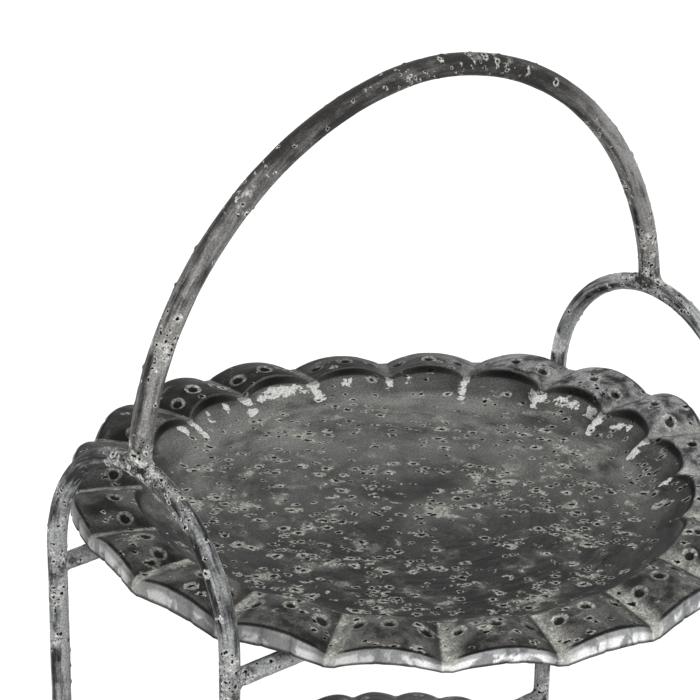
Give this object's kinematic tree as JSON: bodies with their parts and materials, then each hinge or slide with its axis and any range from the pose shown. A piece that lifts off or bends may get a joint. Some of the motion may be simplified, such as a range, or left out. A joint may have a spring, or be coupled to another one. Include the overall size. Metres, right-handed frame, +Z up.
{
  "type": "plant trolley",
  "caption": "Tiered plant trolley with round fluted trays on a bent tube frame, an arched carrying handle over the top and swivel casters.",
  "frame": {"origin": "on the floor under the middle of the frame, at the bottom centre of its box", "axes": "+Z up; +X along the handle span and the tray rails, from the left end arch to the right one; -Y the front"},
  "size_m": [0.4914, 0.465, 0.7713],
  "materials": {
    "dark_tube": "aged, chipped charcoal with pale pitted patches",
    "handle_tube": "aged pewter grey with lighter streaks and pitted patches",
    "tray_sheet": "distressed dark grey, brushed, with pale haloed pits and a worn silvery skirt",
    "zinc": "dulled zinc plate",
    "socket_nylon": "matte black",
    "hub_nylon": "matte dark grey",
    "rubber": "matte black"
  },
  "bodies": {
    "frame": {"end_arch_left": "dark_tube", "end_arch_right": "dark_tube", "handle_arch": "handle_tube", "upper_rail_front": "dark_tube", "upper_rail_back": "dark_tube", "lower_rail_front": "dark_tube", "lower_rail_back": "dark_tube", "leg_socket_front_left": "socket_nylon", "leg_socket_front_right": "socket_nylon", "leg_socket_back_left": "socket_nylon", "leg_socket_back_right": "socket_nylon", "caster_stem_front_left": "zinc", "caster_stem_front_right": "zinc", "caster_stem_back_left": "zinc", "caster_stem_back_right": "zinc"},
    "upper_tray": {"upper_tray": "tray_sheet"},
    "lower_tray": {"lower_tray": "tray_sheet"},
    "swivel_front_left": {"fork_front_left": "zinc", "swivel_race_front_left": "zinc", "axle_bolt_front_left": "zinc", "axle_nut_front_left": "zinc"},
    "wheel_front_left": {"wheel_hub_front_left": "hub_nylon", "wheel_tyre_front_left": "rubber"},
    "swivel_front_right": {"fork_front_right": "zinc", "swivel_race_front_right": "zinc", "axle_bolt_front_right": "zinc", "axle_nut_front_right": "zinc"},
    "wheel_front_right": {"wheel_hub_front_right": "hub_nylon", "wheel_tyre_front_right": "rubber"},
    "swivel_back_left": {"fork_back_left": "zinc", "swivel_race_back_left": "zinc", "axle_bolt_back_left": "zinc", "axle_nut_back_left": "zinc"},
    "wheel_back_left": {"wheel_hub_back_left": "hub_nylon", "wheel_tyre_back_left": "rubber"},
    "swivel_back_right": {"fork_back_right": "zinc", "swivel_race_back_right": "zinc", "axle_bolt_back_right": "zinc", "axle_nut_back_right": "zinc"},
    "wheel_back_right": {"wheel_hub_back_right": "hub_nylon", "wheel_tyre_back_right": "rubber"}
  },
  "joints": [
    {"name": "upper_tray_lift", "type": "slide", "parent": "frame", "child": "upper_tray", "axis": [0, 0, 1], "range_m": [0, 0.035]},
    {"name": "lower_tray_draw", "type": "slide", "parent": "frame", "child": "lower_tray", "axis": [0, -1, 0], "range_m": [0, 0.45]},
    {"name": "swivel_front_left", "type": "hinge", "parent": "frame", "child": "swivel_front_left", "pos_m": [-0.23, -0.0925, 0.058], "axis": [0, 0, 1], "continuous": true},
    {"name": "wheel_spin_front_left", "type": "hinge", "parent": "swivel_front_left", "child": "wheel_front_left", "pos_m": [-0.23, -0.0755, 0.025], "axis": [1, 0, 0], "continuous": true},
    {"name": "swivel_front_right", "type": "hinge", "parent": "frame", "child": "swivel_front_right", "pos_m": [0.23, -0.0925, 0.058], "axis": [0, 0, 1], "continuous": true},
    {"name": "wheel_spin_front_right", "type": "hinge", "parent": "swivel_front_right", "child": "wheel_front_right", "pos_m": [0.23, -0.0755, 0.025], "axis": [1, 0, 0], "continuous": true},
    {"name": "swivel_back_left", "type": "hinge", "parent": "frame", "child": "swivel_back_left", "pos_m": [-0.23, 0.0925, 0.058], "axis": [0, 0, 1], "continuous": true},
    {"name": "wheel_spin_back_left", "type": "hinge", "parent": "swivel_back_left", "child": "wheel_back_left", "pos_m": [-0.23, 0.1095, 0.025], "axis": [1, 0, 0], "continuous": true},
    {"name": "swivel_back_right", "type": "hinge", "parent": "frame", "child": "swivel_back_right", "pos_m": [0.23, 0.0925, 0.058], "axis": [0, 0, 1], "continuous": true},
    {"name": "wheel_spin_back_right", "type": "hinge", "parent": "swivel_back_right", "child": "wheel_back_right", "pos_m": [0.23, 0.1095, 0.025], "axis": [1, 0, 0], "continuous": true}
  ]
}
